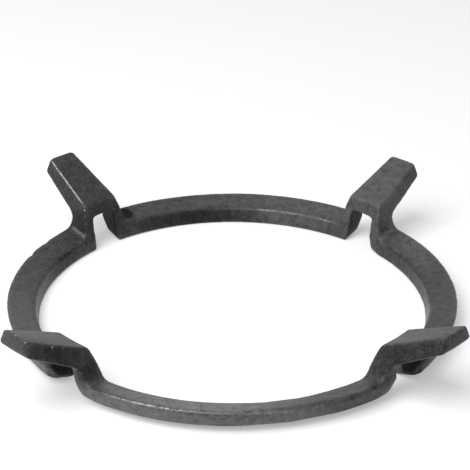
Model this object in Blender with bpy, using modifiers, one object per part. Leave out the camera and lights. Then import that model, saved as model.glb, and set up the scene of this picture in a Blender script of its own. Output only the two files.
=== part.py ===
"""Cast iron wok ring: a dished ring with four slotted saddles, each with a blade that rises outward.

The ring lies flat with its foot on z = 0 and its axis on the origin. Lengths are in metres.
Its section with the saddle on it is drawn once and run out as a straight bar: x is the distance from the
axis, y the way along the ring and z the height. The gaps between the saddles and the slots under them are
cut from the bar, its edges are rounded, and it is bent into the ring.
"""

import math

import bmesh
import bpy
from mathutils import Matrix, Vector

# Ring section
RING_DIAMETER = 0.2004
RING_WIDTH = 0.0139
RING_HEIGHT = 0.0112
TOP_SLOPE = math.radians(15.6)
OUTER_WALL_DRAFT = 0.0020
SHOULDER_DROP = 0.0016
FOOT_WIDTH = 0.0026
UNDERSIDE_RISE = 0.0030
OUTER_FOOT_RADIUS = 0.0015

# Slot that straddles a support arm
SLOT_WIDTH = 0.0124
SLOT_FLARE = 0.0012
SLOT_HEIGHT = 0.0162
SLOT_CORNER_RADIUS = 0.0018
SLOT_FOOT_RADIUS = 0.0027
INNER_MOUTH_RADIUS = 0.0008
OUTER_MOUTH_RADIUS = 0.0024

# Saddle, seen from the side: the breast rises from the bore, the nose leads from it up to the crest over the
# slot, and the blade runs out from the crest to its tip
BREAST_LEAN = 0.0026
BREAST_BEND = 0.030
NOSE_LEAN = 0.0024
NOSE_RISE = 0.0073
BRIDGE_THICKNESS = 0.0066
TIP_REACH = 0.0200
TIP_RISE = 0.0148
TIP_THICKNESS = 0.0068
TIP_UNDERCUT = 0.0012
STEM_SETBACK = 0.0013
THROAT_LIFT = 0.0006
THROAT_RADIUS = 0.0045

# Saddle, seen from the axis
LEG_WALL = 0.0032
LEG_SPLAY = 0.00405
TIP_WIDTH = 0.0142
FOOT_FILLET = 0.0030

# Rounding of the cast edges outside the slots
EDGE_RADIUS = 0.0011

# Each saddle as cast: its direction round the ring, and how far its tip stands off the drawn height
SADDLES = (
    (math.radians(45.0), -0.0012),
    (math.radians(134.9), 0.0010),
    (math.radians(226.0), 0.0),
    (math.radians(315.8), 0.0002),
)

# Fineness of the round shapes
TURN_STEPS = 120
ARC_STEP = math.radians(24)
EDGE_SEGMENTS = 3
MOUTH_STEPS = 3
SHARPEST_SMOOTH = math.radians(33)
MERGE_DISTANCE = 0.000002
WELD_DISTANCE = 0.00002

# How far cutters run past the metal, and the bar past each end of its one full turn
OVERRUN = 0.004
CLEARANCE = 0.0001
SPARE_TURN = math.radians(70)

IRON_COLOUR = (0.055, 0.056, 0.058, 1.0)
IRON_ROUGHNESS = 0.6
IRON_METALLIC = 0.35

OUTER_RADIUS = RING_DIAMETER / 2
INNER_RADIUS = OUTER_RADIUS - RING_WIDTH
NEUTRAL_RADIUS = (OUTER_RADIUS + INNER_RADIUS) / 2
LAND_END = INNER_RADIUS + FOOT_WIDTH
UNDERSIDE_SLOPE = UNDERSIDE_RISE / (OUTER_RADIUS - OUTER_WALL_DRAFT - LAND_END)

CREST_RADIUS = INNER_RADIUS + BREAST_LEAN + NOSE_LEAN
CREST_HEIGHT = SLOT_HEIGHT + BRIDGE_THICKNESS
STEM_RADIUS = OUTER_RADIUS - STEM_SETBACK
TIP_RADIUS = OUTER_RADIUS + TIP_REACH
TIP_HEIGHT = CREST_HEIGHT + TIP_RISE


def clear_scene():
    for item in list(bpy.data.objects):
        bpy.data.objects.remove(item, do_unlink=True)


def new_collection(name):
    collection = bpy.data.collections.new(name)
    bpy.context.scene.collection.children.link(collection)
    return collection


def iron():
    material = bpy.data.materials.new("cast_iron")
    material.use_nodes = True
    shader = material.node_tree.nodes["Principled BSDF"]
    shader.inputs["Base Color"].default_value = IRON_COLOUR
    shader.inputs["Roughness"].default_value = IRON_ROUGHNESS
    shader.inputs["Metallic"].default_value = IRON_METALLIC
    return material


def rounded(corners):
    """Closed outline through corners (across, up, radius), with an arc at each corner that has a radius."""
    points = []
    for index, (across, up, radius) in enumerate(corners):
        corner = Vector((across, up))
        before = (Vector(corners[index - 1][:2]) - corner).normalized()
        after = (Vector(corners[(index + 1) % len(corners)][:2]) - corner).normalized()
        if radius == 0:
            points.append(corner)
            continue
        half = before.angle(after) / 2
        turn = math.pi - 2 * half
        centre = corner + (before + after).normalized() * (radius / math.sin(half))
        start = corner + before * (radius / math.tan(half)) - centre
        way = 1 if before.cross(after) < 0 else -1
        steps = max(1, math.ceil(turn / ARC_STEP))
        for step in range(steps + 1):
            points.append(centre + Matrix.Rotation(way * turn * step / steps, 2) @ start)
    return points


def prism(name, corners, start, end, collection):
    """Prism with its outline of corners (across, up, rounding) in the YZ plane, from x = start to x = end."""
    curve = bpy.data.curves.new(name, "CURVE")
    curve.dimensions = "2D"
    curve.fill_mode = "BOTH"
    curve.extrude = (end - start) / 2
    outline = rounded(corners)
    spline = curve.splines.new("POLY")
    spline.points.add(len(outline) - 1)
    for point, place in zip(spline.points, outline):
        point.co = (place.x, place.y, 0, 1)
    spline.use_cyclic_u = True
    flat = bpy.data.objects.new(name + "_outline", curve)
    collection.objects.link(flat)
    flat.matrix_world = Matrix((
        (0, 0, 1, (start + end) / 2),
        (1, 0, 0, 0),
        (0, 1, 0, 0),
        (0, 0, 0, 1),
    ))
    bpy.context.view_layer.update()
    mesh = bpy.data.meshes.new_from_object(flat.evaluated_get(bpy.context.evaluated_depsgraph_get()))
    mesh.transform(flat.matrix_world)
    bpy.data.objects.remove(flat, do_unlink=True)
    bm = bmesh.new()
    bm.from_mesh(mesh)
    bmesh.ops.remove_doubles(bm, verts=bm.verts, dist=MERGE_DISTANCE)
    bmesh.ops.recalc_face_normals(bm, faces=bm.faces)
    bmesh.ops.dissolve_limit(bm, angle_limit=0.001, verts=bm.verts, edges=bm.edges)
    bm.to_mesh(mesh)
    bm.free()
    item = bpy.data.objects.new(name, mesh)
    item.hide_render = True
    item.display_type = "WIRE"
    collection.objects.link(item)
    return item


def cut(item, cutter):
    modifier = item.modifiers.new(cutter.name, "BOOLEAN")
    modifier.operation = "DIFFERENCE"
    modifier.solver = "EXACT"
    modifier.object = cutter


def ring_top(radius):
    """Height of the ring's dished top face at a radius, carried on past its edges."""
    return RING_HEIGHT - (OUTER_RADIUS - radius) * math.tan(TOP_SLOPE)


def along(half_width, radius):
    """Length along the bar that a half width at a radius bends into."""
    return NEUTRAL_RADIUS * math.asin(half_width / radius)


def section():
    """Corners (radius, height, rounding) of the ring's section with a saddle on it, from the blade's tip."""
    return [
        (TIP_RADIUS, TIP_HEIGHT, 0),
        (CREST_RADIUS, CREST_HEIGHT, 0),
        (CREST_RADIUS - NOSE_LEAN, CREST_HEIGHT - NOSE_RISE, BREAST_BEND),
        (INNER_RADIUS, 0, 0),
        (LAND_END, 0, 0),
        (OUTER_RADIUS - OUTER_WALL_DRAFT, UNDERSIDE_RISE, OUTER_FOOT_RADIUS),
        (OUTER_RADIUS, RING_HEIGHT - SHOULDER_DROP, 0),
        (STEM_RADIUS, SLOT_HEIGHT + THROAT_LIFT, THROAT_RADIUS),
        (TIP_RADIUS + TIP_UNDERCUT, TIP_HEIGHT - TIP_THICKNESS, 0),
    ]


def side(points, height):
    """Radius at a height along one side of the section, a run of points from low to high."""
    height = max(height, points[0].y)
    for low, high in zip(points, points[1:]):
        if height <= high.y:
            break
    return low.x + (high.x - low.x) * (height - low.y) / (high.y - low.y)


def make_bar(collection):
    """The section run out past one full turn."""
    bar = prism(
        "bar", section(), -(math.tau + SPARE_TURN) * NEUTRAL_RADIUS, SPARE_TURN * NEUTRAL_RADIUS, collection)
    bar.data.transform(Matrix.Rotation(-math.pi / 2, 4, "Z"))
    return bar


def make_gap(number, before, after, collection):
    """Cutter for the space over the ring between two saddles, down to the ring's top and the legs' fillets."""
    crest_half = SLOT_WIDTH / 2 + LEG_WALL
    leg = along(crest_half + LEG_SPLAY, CREST_RADIUS)
    tip = TIP_HEIGHT - ring_top(TIP_RADIUS)
    slope = (leg - along(crest_half, CREST_RADIUS)) / (CREST_HEIGHT - ring_top(CREST_RADIUS))
    narrowing = (leg - slope * tip - along(TIP_WIDTH / 2, TIP_RADIUS)) / (TIP_RADIUS - CREST_RADIUS)
    half = (after - before) / 2 * NEUTRAL_RADIUS - leg
    top = tip + OVERRUN
    gap = prism(f"gap_{number}", [
        (half, 0, FOOT_FILLET),
        (half + slope * top, top, 0),
        (-half - slope * top, top, 0),
        (-half, 0, FOOT_FILLET),
    ], INNER_RADIUS - OVERRUN, TIP_RADIUS + TIP_UNDERCUT + OVERRUN, collection)
    centre = (after + before) / 2 * NEUTRAL_RADIUS
    for vertex in gap.data.vertices:
        hand = 1 if vertex.co.y > 0 else -1
        vertex.co.y += centre + hand * narrowing * (vertex.co.x - CREST_RADIUS)
        vertex.co.z += ring_top(vertex.co.x)
    return gap


def make_slot(number, azimuth, collection):
    """Cutter for a slot: walls that run parallel once bent, feet rounded along the rising underside, and
    mouths rounded into the inner and outer side of the ring."""
    half = along(SLOT_WIDTH / 2, CREST_RADIUS)
    narrowing = (half - along(SLOT_WIDTH / 2, STEM_RADIUS)) / (STEM_RADIUS - CREST_RADIUS)
    flare = SLOT_FLARE / 2 / SLOT_HEIGHT
    foot_half = half + flare * SLOT_HEIGHT
    skirt_half = foot_half + SLOT_FOOT_RADIUS + OVERRUN
    slot = prism(f"slot_{number}", [
        (-skirt_half, -OVERRUN, 0),
        (skirt_half, -OVERRUN, 0),
        (skirt_half, 0, 0),
        (foot_half, 0, SLOT_FOOT_RADIUS),
        (half, SLOT_HEIGHT, SLOT_CORNER_RADIUS),
        (-half, SLOT_HEIGHT, SLOT_CORNER_RADIUS),
        (-foot_half, 0, SLOT_FOOT_RADIUS),
        (-skirt_half, 0, 0),
    ], INNER_RADIUS - OVERRUN, OUTER_RADIUS + OVERRUN, collection)

    outline = rounded(section())
    foot = next(index for index, point in enumerate(outline) if point.y == 0)
    inner_side = outline[foot:0:-1]
    outer_side = outline[foot + 2:]
    bm = bmesh.new()
    bm.from_mesh(slot.data)
    heights = [point.y + CLEARANCE for point in outer_side]
    heights = [height for height in heights if SLOT_FOOT_RADIUS < height < SLOT_HEIGHT - SLOT_CORNER_RADIUS]
    depths = [1 - math.sin(step * math.pi / 2 / MOUTH_STEPS) for step in range(MOUTH_STEPS + 1)]
    places = [(0, 0, height) for height in heights]
    places += [(INNER_RADIUS + depth * INNER_MOUTH_RADIUS, 0, 0) for depth in depths]
    places += [(OUTER_RADIUS - depth * OUTER_MOUTH_RADIUS, 0, 0) for depth in depths]
    for place in places:
        bmesh.ops.bisect_plane(
            bm,
            geom=bm.verts[:] + bm.edges[:] + bm.faces[:],
            dist=MERGE_DISTANCE,
            plane_co=place,
            plane_no=(1, 0, 0) if place[0] else (0, 0, 1),
        )
    centre = azimuth * NEUTRAL_RADIUS
    for vertex in bm.verts:
        hand = 1 if vertex.co.y > 0 else -1
        if vertex.co.x < NEUTRAL_RADIUS:
            depth, radius = (vertex.co.x - INNER_RADIUS) / INNER_MOUTH_RADIUS, INNER_MOUTH_RADIUS
            vertex.co.x += side(inner_side, vertex.co.z) - INNER_RADIUS - CLEARANCE
        else:
            depth, radius = (OUTER_RADIUS - vertex.co.x) / OUTER_MOUTH_RADIUS, OUTER_MOUTH_RADIUS
            vertex.co.x += side(outer_side, vertex.co.z) - OUTER_RADIUS + CLEARANCE
        mouth = radius * (1 - math.sqrt(1 - (1 - min(1, max(0, depth))) ** 2))
        if vertex.co.z < SLOT_HEIGHT / 2:
            lift = (vertex.co.x - LAND_END) * UNDERSIDE_SLOPE - CLEARANCE
        else:
            lift = mouth * min(1, max(0, (vertex.co.z - SLOT_HEIGHT) / SLOT_CORNER_RADIUS + 1))
        vertex.co.z += lift
        vertex.co.y += hand * mouth - hand * flare * lift - hand * narrowing * (vertex.co.x - CREST_RADIUS)
        vertex.co.y += centre
    bmesh.ops.triangulate(bm, faces=bm.faces)
    bm.to_mesh(slot.data)
    bm.free()
    return slot


def round_edges(item):
    bevel = item.modifiers.new("rounded_edges", "BEVEL")
    bevel.width = EDGE_RADIUS
    bevel.segments = EDGE_SEGMENTS
    bevel.limit_method = "ANGLE"
    bevel.angle_limit = SHARPEST_SMOOTH
    bevel.use_clamp_overlap = True


def tip_rise(radius, height, azimuth):
    """How far a point of a blade stands off the drawn height, from nothing at its root to all at its tip."""
    lift = min(SADDLES, key=lambda saddle: abs(saddle[0] - azimuth))[1]
    outward = (radius - CREST_RADIUS) / (TIP_RADIUS - CREST_RADIUS)
    upward = (height - SLOT_HEIGHT) / (CREST_HEIGHT - SLOT_HEIGHT)
    return lift * max(0, outward) * min(1, max(0, upward))


def bend(bar, collection):
    """The bar sliced at every step of the turn, bent round the axis and closed where its ends meet."""
    bm = bmesh.new()
    mesh = bpy.data.meshes.new_from_object(bar.evaluated_get(bpy.context.evaluated_depsgraph_get()))
    bm.from_mesh(mesh)
    for step in range(TURN_STEPS + 1):
        place = step / TURN_STEPS * math.tau * NEUTRAL_RADIUS
        bmesh.ops.bisect_plane(
            bm,
            geom=bm.verts[:] + bm.edges[:] + bm.faces[:],
            dist=MERGE_DISTANCE,
            plane_co=(0, place, 0),
            plane_no=(0, 1, 0),
            clear_inner=step == 0,
            clear_outer=step == TURN_STEPS,
        )
    for vertex in bm.verts:
        radius, azimuth, height = vertex.co.x, vertex.co.y / NEUTRAL_RADIUS, vertex.co.z
        vertex.co.z = height + tip_rise(radius, height, azimuth)
        vertex.co.x = radius * math.cos(azimuth)
        vertex.co.y = radius * math.sin(azimuth)
    bmesh.ops.remove_doubles(bm, verts=bm.verts, dist=WELD_DISTANCE)
    bm.to_mesh(mesh)
    bm.free()
    ring = bpy.data.objects.new("wok_ring", mesh)
    collection.objects.link(ring)
    return ring


def main():
    clear_scene()
    part = new_collection("wok_ring")
    workings = new_collection("bar_and_cutters")
    bar = make_bar(workings)
    azimuths = [azimuth for azimuth, lift in SADDLES]
    stations = [turn * math.tau + azimuth for turn in (-1, 0, 1) for azimuth in azimuths][2:-2]
    for number, (before, after) in enumerate(zip(stations, stations[1:]), start=1):
        cut(bar, make_gap(number, before, after, workings))
    round_edges(bar)
    for number, azimuth in enumerate(azimuths, start=1):
        cut(bar, make_slot(number, azimuth, workings))
    ring = bend(bar, part)
    ring.data.materials.append(iron())
    ring.data.shade_smooth()
    ring.data.set_sharp_from_angle(angle=SHARPEST_SMOOTH)


main()
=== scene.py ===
"""Looks of the cast iron wok ring: its sand-cast skin, softened edges, painted shade in its slots and
hollows, patches of painted light and shade, and rubbed rims painted bright as the lamp's glints.

Lengths are in metres. A place on the ring is (radius, degrees round the ring, height), with 0 degrees at the
right, 90 at the rear, 180 at the left and 270 at the front.
"""

import functools
import math

import bmesh
import bpy
import numpy as np
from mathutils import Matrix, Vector, noise
from mathutils.bvhtree import BVHTree

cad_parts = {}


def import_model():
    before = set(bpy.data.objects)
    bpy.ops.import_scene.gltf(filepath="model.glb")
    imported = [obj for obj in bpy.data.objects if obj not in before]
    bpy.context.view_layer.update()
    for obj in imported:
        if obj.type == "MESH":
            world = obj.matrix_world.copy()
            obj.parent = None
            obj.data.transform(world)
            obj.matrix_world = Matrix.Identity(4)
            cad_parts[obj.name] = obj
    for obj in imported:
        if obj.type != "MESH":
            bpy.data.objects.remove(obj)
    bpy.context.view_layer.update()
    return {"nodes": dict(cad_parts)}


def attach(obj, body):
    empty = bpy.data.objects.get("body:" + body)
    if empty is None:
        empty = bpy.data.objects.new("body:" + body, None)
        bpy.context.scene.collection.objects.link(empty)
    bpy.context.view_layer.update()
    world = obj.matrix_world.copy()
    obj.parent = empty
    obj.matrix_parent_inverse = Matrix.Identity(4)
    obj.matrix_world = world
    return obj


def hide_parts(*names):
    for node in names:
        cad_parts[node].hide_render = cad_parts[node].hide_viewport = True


# Skin of the casting: how fine it is, how many times it is smoothed, the turn from one of the solid's flats
# to the next, the gap that its loose corners are joined over, its waves and pits, and the height below which
# they fade out towards the foot
SKIN_SIZE = 0.00068
SKIN_SMOOTHING = 5
TURN_STEP = math.radians(3)
MERGE_REACH = 0.000005
WAVE_DEPTH = 0.00014
WAVE_SIZE = 0.016
PITTING_DEPTH = 0.00010
PITTING_SIZE = 0.0028
FOOT_HEIGHT = 0.002

# Places where the casting came out rounder than its pattern: the place, how far that reaches, and how many
# more times the skin is smoothed there
EASED = {
    "rear right saddle's left foot": ((0.0890, 52.5, 0.0105), 0.0055, 40),
    "rear right saddle's right foot": ((0.0868, 39.5, 0.0020), 0.0045, 60),
    "front left saddle's right foot": ((0.0995, 232.2, 0.0085), 0.0070, 60),
    "front right saddle's left foot": ((0.0995, 310.0, 0.0060), 0.0060, 24),
    "front right shoulder": ((0.0989, 307.5, 0.0120), 0.0050, 60),
    "front rim": ((0.0990, 278.0, 0.0105), 0.0110, 40),
    "front right rim": ((0.0990, 288.0, 0.0105), 0.0110, 40),
}

# Dents, and bumps where the depth is negative: the place, how far each reaches, and how deep it is
DENTS = {
    "left rim, front dent": ((0.1000, 161.5, 0.0100), 0.0016, 0.00050),
    "left rim, bump": ((0.1000, 158.5, 0.0100), 0.0030, -0.00015),
    "left rim, rear dent": ((0.1000, 153.5, 0.0100), 0.0018, 0.00035),
    "right bore, dent": ((0.0865, 28.5, 0.0010), 0.0020, 0.00040),
    "right bore, bump": ((0.0865, 25.5, 0.0010), 0.0024, -0.00030),
}

# Painted shade on the walls and roofs of the slots: each slot's degrees round the ring, and how black it is.
# Then how far it reaches, over what length it fades, and how far in or out the metal may face for all of it
# or none
SLOT_SHADE = {
    "rear right": (45.0, 0.55),
    "rear left": (134.9, 0.85),
    "front left": (226.0, 1.0),
    "front right": (315.8, 1.0),
}
SLOT_SHADE_HALF_WIDTH = 0.0072
SLOT_SHADE_HEIGHT = 0.0168
SLOT_SHADE_FADE = 0.0005
SLOT_SHADE_FACING = (1 / 2, 2 / 3)

# Wear along the edges: how far it reaches, how many times the skin is spread to find it where that is one
# skin size, and how sharply it comes on
RIM_REACH = 0.0007
RIM_PASSES = 6
RIM_SHARPNESS = 4

# Painted shade where the metal shelters itself: how far it looks, from how high above the skin, along how
# many rays, and the shares of them that count as fully closed in and as open
SHELTER_REACH = 0.020
SHELTER_LIFT = 0.0004
SHELTER_RAYS = 24
SHELTER_SHARES = (0.6, 0.2)

# Patches of painted light and shade, for how the lamp lights each face: greyer than the rest (up to 2) where
# it is painted lit and blacker (down to -1) where it is painted shaded, with painted shadows under the front
# right blade
# and beside the rear left leg. For each: the middle, the spread inward and outward, round the ring, and up
# and down, the way the metal faces there, and the change. Then how squarely the metal has to face that way
# for all of a change or none
LIGHT_AND_SHADE_PATCHES = {
    "front wall": ((0.099, 272.0, 0.006), (0.004, 0.100, 0.006), "out", 0.8),
    "front left wall": ((0.099, 243.0, 0.006), (0.004, 0.030, 0.006), "out", 0.3),
    "front right wall": ((0.099, 301.0, 0.005), (0.004, 0.020, 0.006), "out", -0.95),
    # Painted shadow cast by the front right blade on the wall under it
    "wall under the front right blade": ((0.101, 323.5, 0.010), (0.010, 0.013, 0.015), "any", -1.0),
    "front top": ((0.094, 260.0, 0.009), (0.008, 0.038, 0.004), "up", 1.3),
    "front left blade's top": ((0.108, 222.0, 0.030), (0.016, 0.010, 0.014), "up", 0.85),
    "front left saddle's sides": ((0.108, 226.0, 0.024), (0.022, 0.014, 0.018), "side", -0.85),
    "front left saddle's right leg": ((0.094, 233.0, 0.012), (0.005, 0.006, 0.007), "any", -0.6),
    "front right shoulder": ((0.0989, 307.5, 0.0120), (0.003, 0.0035, 0.0025), "any", -0.2),
    "front right blade's top": ((0.102, 315.8, 0.028), (0.014, 0.010, 0.014), "up", 0.5),
    "front right saddle's sides": ((0.103, 315.8, 0.022), (0.024, 0.014, 0.018), "side", -0.62),
    "front right blade's outer end": ((0.119, 312.5, 0.032), (0.008, 0.008, 0.010), "side", -0.2),
    "front right slot's inner end": ((0.0898, 320.0, 0.003), (0.0025, 0.004, 0.006), "any", 0.9),
    "front right tip": ((0.121, 315.8, 0.033), (0.004, 0.010, 0.008), "out", -0.45),
    "right inner face": ((0.087, 348.5, 0.006), (0.004, 0.009, 0.006), "in", 1.6),
    "right top": ((0.094, 26.0, 0.010), (0.008, 0.022, 0.004), "up", 0.45),
    "rear right blade's top": ((0.105, 45.0, 0.028), (0.025, 0.014, 0.016), "up", 0.45),
    "rear right saddle's inner face": ((0.090, 45.0, 0.012), (0.008, 0.018, 0.014), "in", 0.45),
    "rear right saddle's sides": ((0.105, 45.0, 0.024), (0.024, 0.014, 0.016), "side", -0.4),
    "rear right saddle's right side": ((0.106, 37.0, 0.026), (0.020, 0.009, 0.014), "side", 0.55),
    "rear right top": ((0.095, 62.0, 0.010), (0.008, 0.030, 0.004), "up", 0.38),
    "rear right face": ((0.088, 70.0, 0.004), (0.004, 0.022, 0.006), "in", 0.5),
    "rear top": ((0.094, 88.0, 0.010), (0.008, 0.026, 0.004), "up", 0.18),
    "rear left face": ((0.088, 104.0, 0.004), (0.004, 0.032, 0.006), "in", -0.65),
    # Painted shadow cast by the rear left leg on the top beside it
    "rear left top beside the leg": ((0.0945, 124.1, 0.0095), (0.0045, 0.0030, 0.004), "up", -1.0),
    "rear left blade": ((0.108, 135.0, 0.030), (0.016, 0.012, 0.014), "any", -0.33),
    "rear left saddle": ((0.095, 134.9, 0.011), (0.011, 0.020, 0.012), "any", -0.75),
    "rear left saddle's left foot": ((0.0925, 145.0, 0.0095), (0.006, 0.006, 0.004), "up", 0.6),
    "left inner face": ((0.087, 157.0, 0.005), (0.004, 0.018, 0.006), "in", -0.45),
    "left top, rear": ((0.094, 157.0, 0.010), (0.008, 0.022, 0.004), "up", -0.15),
    "left top, front": ((0.094, 200.0, 0.010), (0.008, 0.030, 0.004), "up", 0.3),
}
PATCH_LIMITS = (-1, 2)
PATCH_FACING = (0.8, 0.3)

# Rubs round a rim, worn down to bright iron and painted brighter where the lamp glints on them, a painted
# highlight:
# radius, height, from and to in degrees round the ring, how wide, and how bright
RIM_RUB_GLINTS = {
    "front rim": (0.0996, 0.0107, 242.0, 258.5, 0.00042, 0.85),
    "front rim, with its faint ends": (0.0996, 0.0107, 237.5, 266.0, 0.00036, 0.45),
    "rear right inner rim": (0.0878, 0.0073, 67.5, 82.0, 0.00034, 0.35),
    "rear right inner rim, by the leg": (0.0878, 0.0073, 56.5, 61.5, 0.00040, 0.30),
}

# Dark lines round a rim, painted shade along its edges: radius, height, from and to in degrees, how wide, and
# how black
SHADED_RIM_LINES = {
    "right inner rim": (0.0876, 0.0069, 13.0, 31.0, 0.00080, 0.35),
    "left inner rim": (0.0874, 0.0066, 150.0, 160.0, 0.00110, 0.4),
    "under the front rim's rub": (0.1000, 0.0098, 250.0, 271.0, 0.00040, 0.6),
    "front right rim": (0.0998, 0.0098, 284.0, 299.0, 0.00100, 0.35),
}

# Rubs along a straight edge, worn iron painted bright where the lamp glints on it: its two ends, how wide,
# and how bright
EDGE_RUB_GLINTS = {
    "rear left blade's left edge": ((0.1190, 138.2, 0.0375), (0.0942, 140.5, 0.0238), 0.00034, 0.6),
    "rear left saddle's left foot": ((0.0975, 142.9, 0.0117), (0.0894, 143.4, 0.0092), 0.00070, 0.22),
    "front left blade's far edge": ((0.1050, 222.0, 0.0300), (0.1000, 221.2, 0.0272), 0.00034, 0.4),
    "rear right saddle's left foot": ((0.0878, 56.0, 0.0075), (0.0880, 52.7, 0.0100), 0.00050, 0.25),
    "rear right saddle's left leg": ((0.0880, 52.7, 0.0100), (0.0886, 51.1, 0.0135), 0.00050, 0.20),
}

# Bright nicks, painted as the lamp's glints on worn iron: the place, how big, and how bright
NICK_GLINTS = {
    "front left tip": ((0.1188, 225.9, 0.0369), 0.00080, 0.35),
    "front left tip's near corner": ((0.1199, 229.1, 0.0370), 0.00050, 0.60),
    "front left tip's edge": ((0.1184, 227.2, 0.0367), 0.00040, 0.50),
    "front left blade's near edge": ((0.1090, 230.5, 0.0306), 0.00045, 0.50),
    "front left blade's near edge, inner": ((0.1045, 230.9, 0.0285), 0.00045, 0.30),
    "front rim, left": ((0.0996, 266.8, 0.0107), 0.00045, 0.90),
    "front rim, right": ((0.0996, 268.6, 0.0107), 0.00045, 0.80),
    "front right wall": ((0.1001, 287.0, 0.0085), 0.00060, 0.20),
    "front right blade's near edge": ((0.0961, 312.8, 0.0253), 0.00045, 0.50),
    "front right blade's lower edge": ((0.1073, 310.0, 0.0234), 0.00045, 0.25),
    "front right blade's lower edge, outer": ((0.1107, 310.3, 0.0250), 0.00050, 0.25),
    "rear left nose": ((0.0918, 141.1, 0.0210), 0.00050, 0.70),
}

# How the painted glints of the rubs and nicks, and the painted shade of the dark rim lines, end: between
# which of its own widths a line or a nick fades, how softly a line ends, in degrees along a rim and in metres
# along an edge, between which values of the fray a line breaks up, and how far the fray moves a nick's
# outline, in the nick's own sizes
LINE_FADE = (0.7, 1.3)
GLINT_NICK_FADE = (0.6, 1.2)
RIM_LINE_END = 1.5
EDGE_LINE_END = 0.0003
RIM_RUB_GLINT_FRAY = (0.44, 0.52)
EDGE_RUB_GLINT_FRAY = (0.38, 0.48)
SHADED_RIM_FRAY = (0.40, 0.52)
GLINT_NICK_FRAY = 2

# Clouds of noise in the skin: how many to the metre, how much detail, and how rough
CLOUDS = {
    "sand": (1150, 2, 0.6),
    "grit": (2600, 1, 0.5),
    "mottle": (300, 4, 0.6),
    "stain": (45, 3, 0.5),
    "chips": (700, 2, 0.5),
    "coarse fray": (120, 2, 0.7),
    "fine fray": (900, 2, 0.6),
}
FRAY = {"coarse fray": 0.35, "fine fray": 0.65}
CHIPPED = (0.45, 0.60)

# Tone of the black skin, how the clouds vary it, the least of that, and how blue it is beside red and green
TONE = 0.0235
TONE_GRAIN = {"sand": 1.5, "mottle": 1.8, "stain": 0.6}
TONE_START = -0.95
TONE_LEAST = 0.15
BLUENESS = 1.015

# What a patch of painted light adds to the tone, how the clouds vary it, and the least of that
GREYING = 0.09
GREY_GRAIN = {"sand": 1.4, "mottle": 2.4}
GREY_START = -0.9
GREY_LEAST = 0.2

# Black specks between the grains, how strong they are, and how much fewer there are where it is black anyway
SPECK_GRAIN = {"sand": -1.1, "mottle": -0.9}
SPECKS = 1.3
SPECKS_LOST = 0.85

# What black takes off the tone, and what handled edges and the painted glints of bright iron add to it
BLACKENING = 0.85
HANDLING = 0.012
GLINT_BRIGHTENING = 0.35

# Gloss and relief of the skin
ROUGHNESS = 0.35
ROUGHNESS_CHANGES = {"mottle": 0.10, "black": 0.12, "grey": 0.10, "bright": -0.06}
METAL = {"black": 0.9, "bright": 0.8}
METAL_MOST = 0.9
RELIEF = {"sand": 0.6, "grit": 0.3, "mottle": 2.2}
RELIEF_STRENGTH = 0.6
RELIEF_DEPTH = 0.00045

# Studio: the floor, the world's light, and one soft lamp above the front left
WHITE = (1, 1, 1, 1)
FLOOR_HALF_SIZE = 6
FLOOR_TONE = (0.85, 0.85, 0.85, 1)
FLOOR_ROUGHNESS = 0.9
FLOOR_GLOW = 0.35
WORLD_LIGHT = 0.3
LAMP_PLACE = (-0.487, -0.487, 0.983)
LAMP_SIZE = 0.9
LAMP_POWER = 12.1

# View: the photo's angle and framing, with its width and focal length in its own pixels
PICTURE_WIDTH = 470
PICTURE_FOCAL_LENGTH = 1315.3
SENSOR_WIDTH = 36
VIEW_HEIGHT = math.radians(29.94)
VIEW_DISTANCE = 0.5956
VIEW_LENS = PICTURE_FOCAL_LENGTH / PICTURE_WIDTH * SENSOR_WIDTH
VIEW_SHIFT = (0.0059, 0.1566)
VIEW_CENTRE = (0, 0, -0.0006)


class Value:
    """A socket of a material's nodes, with arithmetic that adds Math nodes."""

    def __init__(self, tree, socket):
        self.tree = tree
        self.socket = socket

    @classmethod
    def node(cls, tree, kind, settings=None, values=(), out=0):
        """A node's output: its settings are made first, then its sockets get their values or links."""
        node = tree.nodes.new(kind)
        for name, setting in (settings or {}).items():
            setattr(node, name, setting)
        pairs = values.items() if isinstance(values, dict) else enumerate(values)
        for name, value in pairs:
            if isinstance(value, Value):
                value.feed(node.inputs[name])
            else:
                node.inputs[name].default_value = value
        return cls(tree, node.outputs[out])

    def feed(self, socket):
        self.tree.links.new(self.socket, socket)

    def maths(self, operation, *values):
        return Value.node(self.tree, "ShaderNodeMath", {"operation": operation}, (self, *values))

    def __add__(self, other):
        return self.maths("ADD", other)

    __radd__ = __add__

    def __sub__(self, other):
        return self.maths("SUBTRACT", other)

    def __rsub__(self, other):
        return Value.node(self.tree, "ShaderNodeMath", {"operation": "SUBTRACT"}, (other, self))

    def __mul__(self, other):
        return self.maths("MULTIPLY", other)

    __rmul__ = __mul__

    def at_least(self, low):
        return self.maths("MAXIMUM", low)

    def at_most(self, high):
        return self.maths("MINIMUM", high)

    def between(self, low, high):
        """0 below low, 1 above high and smooth between them."""
        return Value.node(
            self.tree, "ShaderNodeMapRange", {"interpolation_type": "SMOOTHSTEP"},
            {"Value": self, "From Min": low, "From Max": high},
        )


def polar(radius, degrees, height):
    angle = math.radians(degrees)
    return Vector((radius * math.cos(angle), radius * math.sin(angle), height))


def new_material(name):
    material = bpy.data.materials.new(name)
    material.use_nodes = True
    return material, material.node_tree, material.node_tree.nodes["Principled BSDF"]


def vector(operation, *values, out=0):
    return Value.node(values[0].tree, "ShaderNodeVectorMath", {"operation": operation}, values, out=out)


def total(layers, weights, start=0.0):
    """The named layers added up by their weights, from a start."""
    return sum((layers[name] * weight for name, weight in weights.items()), start)


def strongest(marks):
    """The highest of the marks at each point."""
    return functools.reduce(Value.at_least, marks)


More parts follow.
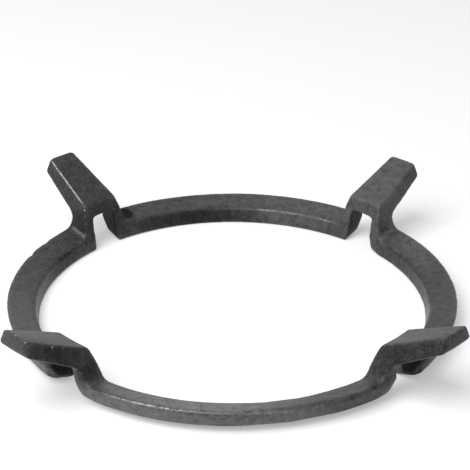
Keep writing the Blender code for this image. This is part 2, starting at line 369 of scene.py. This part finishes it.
def round_ring(place):
    """The radius, the turn round the ring and the height of each point."""
    across, back, height = (
        Value.node(place.tree, "ShaderNodeSeparateXYZ", {}, (place,), out=axis) for axis in "XYZ")
    radius = (across * across + back * back).maths("SQRT")
    turn = (back * -1).maths("ARCTAN2", across * -1) + math.pi
    return radius, turn, height


def near(gap, width, edge=LINE_FADE):
    """1 within about a width and 0 beyond it."""
    return 1 - gap.between(width * edge[0], width * edge[1])


def stretch(along, start, end, softness):
    """1 from start to end and 0 before and after."""
    begun = along.between(start - softness, start + softness)
    return begun * (1 - along.between(end - softness, end + softness))


def rim_line(ring, line_radius, line_height, start, end, width):
    """A line round the ring at one radius and height."""
    radius, turn, height = ring
    out = radius - line_radius
    up = height - line_height
    gap = (out * out + up * up).maths("SQRT")
    return near(gap, width) * stretch(turn, *(math.radians(angle) for angle in (start, end, RIM_LINE_END)))


def edge_line(place, start, end, width):
    """A straight line from one place to another."""
    start, end = polar(*start), polar(*end)
    run = (end - start).normalized()
    off = vector("SUBTRACT", place, start)
    along = vector("DOT_PRODUCT", off, run, out="Value")
    gap = vector("LENGTH", vector("CROSS_PRODUCT", off, run), out="Value")
    return near(gap, width) * stretch(along, 0, (end - start).length, EDGE_LINE_END)


def glint_nick(place, fray, middle, size):
    """A small spot with a ragged outline."""
    gap = vector("LENGTH", vector("SUBTRACT", place, polar(*middle)), out="Value")
    return near(gap + size * GLINT_NICK_FRAY * (fray - 0.5), size, GLINT_NICK_FADE)


def bright_iron_glints(place, ring, fray):
    """Where rubbed iron is painted bright as the lamp's glints, a painted highlight."""
    marks = []
    for *line, strength in RIM_RUB_GLINTS.values():
        marks.append(rim_line(ring, *line) * fray.between(*RIM_RUB_GLINT_FRAY) * strength)
    for *line, strength in EDGE_RUB_GLINTS.values():
        marks.append(edge_line(place, *line) * fray.between(*EDGE_RUB_GLINT_FRAY) * strength)
    for *spot, strength in NICK_GLINTS.values():
        marks.append(glint_nick(place, fray, *spot) * strength)
    return strongest(marks)


def shaded_rim_lines(ring, fray):
    """Where dark lines of painted shade lie round the rims."""
    marks = []
    for *line, strength in SHADED_RIM_LINES.values():
        marks.append(rim_line(ring, *line) * fray.between(*SHADED_RIM_FRAY) * strength)
    return strongest(marks)


def cast_iron():
    """Sandy black iron skin, painted light and shade in patches and hollows, and bright rubs painted as
    glints.
    """
    material, tree, shader = new_material("cast_iron_skin")
    place = Value.node(tree, "ShaderNodeTexCoord", out="Object")
    layers = {}
    for name, (scale, detail, roughness) in CLOUDS.items():
        layers[name] = Value.node(
            tree, "ShaderNodeTexNoise", {},
            {"Vector": place, "Scale": scale, "Detail": detail, "Roughness": roughness},
        )
    worn, light_and_shade, painted_shade = (
        Value.node(tree, "ShaderNodeAttribute", {"attribute_name": name}, out="Fac")
        for name in ("worn", "light_and_shade", "black"))
    ring = round_ring(place)
    fray = total(layers, FRAY)

    handled = worn * layers["chips"].between(*CHIPPED)
    # Painted highlights: the lamp's glints on the rubbed rims, edges and nicks
    bright = bright_iron_glints(place, ring, fray)
    # grey: the painted light of the patches
    grey = light_and_shade.at_least(0)
    # black: painted shade from the dark rim lines, the shaded patches, the hollows and the slots
    black = shaded_rim_lines(ring, fray) + (light_and_shade * -1).at_least(painted_shade * (1 - grey.at_most(1)))
    specks = total(layers, SPECK_GRAIN, 1.0) * (1 - SPECKS_LOST * black.at_most(1))
    black = (black + SPECKS * specks).at_least(0).at_most(1)
    grey = grey * total(layers, GREY_GRAIN, GREY_START).at_least(GREY_LEAST)
    layers.update(bright=bright, grey=grey, black=black)

    tone = TONE * total(layers, TONE_GRAIN, TONE_START).at_least(TONE_LEAST) * (1 - BLACKENING * black)
    tone = tone + GREYING * grey + HANDLING * handled + GLINT_BRIGHTENING * bright
    colour = Value.node(tree, "ShaderNodeCombineColor", {}, (tone, tone, tone * BLUENESS))
    colour.feed(shader.inputs["Base Color"])
    total(layers, ROUGHNESS_CHANGES, ROUGHNESS).feed(shader.inputs["Roughness"])
    total(layers, METAL).at_most(METAL_MOST).feed(shader.inputs["Metallic"])
    relief = Value.node(
        tree, "ShaderNodeBump", {},
        {"Strength": RELIEF_STRENGTH, "Distance": RELIEF_DEPTH, "Height": total(layers, RELIEF)},
    )
    relief.feed(shader.inputs["Normal"])
    return material


def fade(values, full, none):
    """1 at full, 0 at none, and even between them."""
    return np.clip((values - none) / (full - none), 0, 1)


def points_and_normals(mesh):
    points = np.empty(len(mesh.vertices) * 3, np.float32)
    mesh.vertices.foreach_get("co", points)
    normals = np.empty(len(mesh.vertices) * 3, np.float32)
    mesh.vertices.foreach_get("normal", normals)
    return points.reshape(-1, 3), normals.reshape(-1, 3)


def radii_and_turns(points):
    return np.hypot(points[:, 0], points[:, 1]), np.arctan2(points[:, 1], points[:, 0])


def swing(turns, degrees):
    """The angle from a direction round the ring to each point, from -pi to pi."""
    return np.angle(np.exp(1j * (turns - math.radians(degrees))))


def gaps(points, place):
    return np.linalg.norm(points - np.array(polar(*place)), axis=1)


def spread(mesh, values):
    """Each point's values taken halfway to the mean of its neighbours'."""
    edges = np.empty(len(mesh.edges) * 2, np.int32)
    mesh.edges.foreach_get("vertices", edges)
    first, second = edges.reshape(-1, 2).T
    count = np.bincount(edges, minlength=len(values))
    around = np.stack([
        np.bincount(first, column[second], len(values)) + np.bincount(second, column[first], len(values))
        for column in values.T
    ], axis=1)
    return (values + around / count[:, None]) / 2


def surface_tree(mesh):
    return BVHTree.FromPolygons(
        [vertex.co for vertex in mesh.vertices], [face.vertices for face in mesh.polygons])


def paint(mesh, name, values):
    """Values for the mesh's points, kept under a name that the material reads."""
    attribute = mesh.attributes.new(name, "FLOAT", "POINT")
    attribute.data.foreach_set("value", np.asarray(values, np.float32))


def rim_wear(skin):
    """How far each point stands proud on an edge, from 0 on flat metal to 1 on a sharp rim."""
    points, normals = points_and_normals(skin)
    around = points.astype(np.float64)
    for step in range(round((RIM_REACH / SKIN_SIZE) ** 2 * RIM_PASSES)):
        around = spread(skin, around)
    return np.clip(((points - around) * normals).sum(1) / RIM_REACH * RIM_SHARPNESS, 0, 1)


def slot_shade(skin):
    """How much painted shade the walls and roofs of the slots get, and 0 elsewhere."""
    points, normals = points_and_normals(skin)
    radii, turns = radii_and_turns(points)
    shading = np.zeros(len(points))
    for degrees, blackness in SLOT_SHADE.values():
        off_middle = np.abs(radii * swing(turns, degrees))
        shading += blackness * fade(off_middle, SLOT_SHADE_HALF_WIDTH - SLOT_SHADE_FADE, SLOT_SHADE_HALF_WIDTH)
    shading *= fade(points[:, 2], SLOT_SHADE_HEIGHT - SLOT_SHADE_FADE, SLOT_SHADE_HEIGHT)
    in_or_out = np.abs((normals[:, :2] * points[:, :2]).sum(1)) / radii
    return shading * fade(in_or_out, *SLOT_SHADE_FACING)


def shelter_rays():
    """Directions spread evenly over the upper half of a ball, along a spiral."""
    rays = []
    for number in range(SHELTER_RAYS):
        rise = 1 - (number + 0.5) / SHELTER_RAYS
        turn = number * math.pi * (3 - math.sqrt(5))
        out = math.sqrt(1 - rise * rise)
        rays.append(Vector((out * math.cos(turn), out * math.sin(turn), rise)))
    return rays


def sheltering(skin):
    """How much of the space round each point is closed in by the casting itself."""
    points, normals = points_and_normals(skin)
    tree = surface_tree(skin)
    rays = shelter_rays()
    closed = np.zeros(len(points), np.float32)
    for index in range(len(points)):
        normal = Vector(normals[index])
        start = Vector(points[index]) + normal * SHELTER_LIFT
        for ray in rays:
            way = ray if ray.dot(normal) > 0 else -ray
            if tree.ray_cast(start, way, SHELTER_REACH)[0] is not None:
                closed[index] += 1
    return fade(closed / SHELTER_RAYS, *SHELTER_SHARES)


def painted_light_and_shade(skin):
    """The painted light (above 0) and painted shade (below 0) that each point gets from the patches."""
    points, normals = points_and_normals(skin)
    radii, turns = radii_and_turns(points)
    out = (normals[:, 0] * points[:, 0] + normals[:, 1] * points[:, 1]) / radii
    side = np.abs(normals[:, 0] * points[:, 1] - normals[:, 1] * points[:, 0]) / radii
    facing = {"out": out, "in": -out, "up": normals[:, 2], "side": side, "any": np.ones(len(points))}
    change = np.zeros(len(points))
    for (radius, degrees, height), (depth, length, rise), way, most in LIGHT_AND_SHADE_PATCHES.values():
        far = ((radii - radius) / depth) ** 2
        far += (swing(turns, degrees) * radii / length) ** 2 + ((points[:, 2] - height) / rise) ** 2
        change += most * np.exp(-far ** 2) * fade(facing[way], *PATCH_FACING)
    return np.clip(change, *PATCH_LIMITS)


def weather(skin):
    """Cuts the waves, pits and dents of a sand casting into the skin, and keeps its foot flat."""
    points, normals = points_and_normals(skin)
    dents = np.zeros(len(points))
    for place, reach, depth in DENTS.values():
        dents += depth * np.exp(-(gaps(points, place) / reach) ** 2)
    for index, vertex in enumerate(skin.vertices):
        place = Vector(points[index])
        wave = 0.5 + 0.5 * noise.noise(place / WAVE_SIZE)
        pit = max(0.0, noise.noise(place / PITTING_SIZE))
        depth = WAVE_DEPTH * wave + PITTING_DEPTH * pit + dents[index]
        vertex.co = place - Vector(normals[index]) * depth * min(1.0, max(0.0, place.z / FOOT_HEIGHT))


def soften(skin, solid):
    """Lays the skin back onto the solid, rounds out its short flats round the turn, and eases its edges."""
    tree = surface_tree(solid)
    points = np.array([tree.find_nearest(vertex.co)[0] for vertex in skin.vertices], np.float64)
    off_middle = (np.arctan2(points[:, 1], points[:, 0]) % TURN_STEP) - TURN_STEP / 2
    points[:, :2] *= (np.cos(off_middle) / math.cos(TURN_STEP / 2))[:, None]
    for step in range(SKIN_SMOOTHING):
        points = spread(skin, points)
    passes = np.zeros(len(points))
    for place, reach, times in EASED.values():
        passes = np.maximum(passes, times * np.exp(-(gaps(points, place) / reach) ** 4))
    for step in range(math.ceil(passes.max())):
        points += (spread(skin, points) - points) * np.clip(passes - step, 0, 1)[:, None]
    skin.vertices.foreach_set("co", points.astype(np.float32).ravel())
    skin.update()


def casting(node, material):
    """The ring with its edges softened as iron leaves a sand mould."""
    solid = node.data.copy()
    solid.name = "ring_casting"
    bm = bmesh.new()
    bm.from_mesh(solid)
    bmesh.ops.remove_doubles(bm, verts=bm.verts, dist=MERGE_REACH)
    bm.to_mesh(solid)
    bm.free()
    ring = bpy.data.objects.new("ring_casting", solid)
    bpy.context.scene.collection.objects.link(ring)
    remesh = ring.modifiers.new("skin", "REMESH")
    remesh.mode = "VOXEL"
    remesh.voxel_size = SKIN_SIZE
    bpy.context.view_layer.update()
    skin = bpy.data.meshes.new_from_object(ring.evaluated_get(bpy.context.evaluated_depsgraph_get()))
    ring.modifiers.clear()
    ring.data = skin
    skin.materials.clear()
    skin.materials.append(material)
    soften(skin, solid)
    weather(skin)
    paint(skin, "worn", rim_wear(skin))
    # Painted light and shade in patches
    paint(skin, "light_and_shade", painted_light_and_shade(skin))
    # Painted shade: black in the hollows that the casting closes in and on the walls and roofs of the slots
    paint(skin, "black", np.maximum(sheltering(skin), slot_shade(skin)))
    skin.shade_smooth()
    return ring


def backdrop_rays(tree):
    """1 for rays that show a backdrop, straight or in a reflection, and 0 for those that gather its light."""
    seen, mirrored, through = (
        Value.node(tree, "ShaderNodeLightPath", out=ray)
        for ray in ("Is Camera Ray", "Is Glossy Ray", "Is Transmission Ray"))
    return seen + mirrored + through


def pale_floor():
    bm = bmesh.new()
    bmesh.ops.create_grid(bm, x_segments=1, y_segments=1, size=FLOOR_HALF_SIZE)
    mesh = bpy.data.meshes.new("floor")
    bm.to_mesh(mesh)
    bm.free()
    floor = bpy.data.objects.new("floor", mesh)
    bpy.context.scene.collection.objects.link(floor)
    material, tree, shader = new_material("pale_floor")
    shader.inputs["Base Color"].default_value = FLOOR_TONE
    shader.inputs["Roughness"].default_value = FLOOR_ROUGHNESS
    shader.inputs["Emission Color"].default_value = WHITE
    (backdrop_rays(tree) * FLOOR_GLOW).feed(shader.inputs["Emission Strength"])
    mesh.materials.append(material)


def white_world():
    """White where it is seen, and dimmer in the light that it gives."""
    world = bpy.data.worlds.new("studio")
    bpy.context.scene.world = world
    world.use_nodes = True
    background = world.node_tree.nodes["Background"]
    background.inputs["Color"].default_value = WHITE
    strength = WORLD_LIGHT + (1 - WORLD_LIGHT) * backdrop_rays(world.node_tree)
    strength.feed(background.inputs["Strength"])


def soft_lamp():
    light = bpy.data.lights.new("key", "AREA")
    light.shape = "SQUARE"
    light.size = LAMP_SIZE
    light.energy = LAMP_POWER
    lamp = bpy.data.objects.new("key", light)
    bpy.context.scene.collection.objects.link(lamp)
    lamp.location = LAMP_PLACE
    lamp.rotation_euler = (-Vector(LAMP_PLACE)).to_track_quat("-Z", "Y").to_euler()


def camera():
    lens = bpy.data.cameras.new("view")
    lens.sensor_width = SENSOR_WIDTH
    lens.lens = VIEW_LENS
    lens.shift_x, lens.shift_y = VIEW_SHIFT
    view = bpy.data.objects.new("view", lens)
    bpy.context.scene.collection.objects.link(view)
    away = Vector((0, -math.cos(VIEW_HEIGHT), math.sin(VIEW_HEIGHT)))
    view.location = Vector(VIEW_CENTRE) + away * VIEW_DISTANCE
    view.rotation_euler = (-away).to_track_quat("-Z", "Y").to_euler()
    bpy.context.scene.camera = view


def main():
    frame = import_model()
    ring = casting(frame["nodes"]["wok_ring"], cast_iron())
    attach(ring, "root")
    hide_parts("wok_ring")
    pale_floor()
    white_world()
    soft_lamp()
    camera()
    bpy.context.scene.view_settings.view_transform = "Standard"


main()
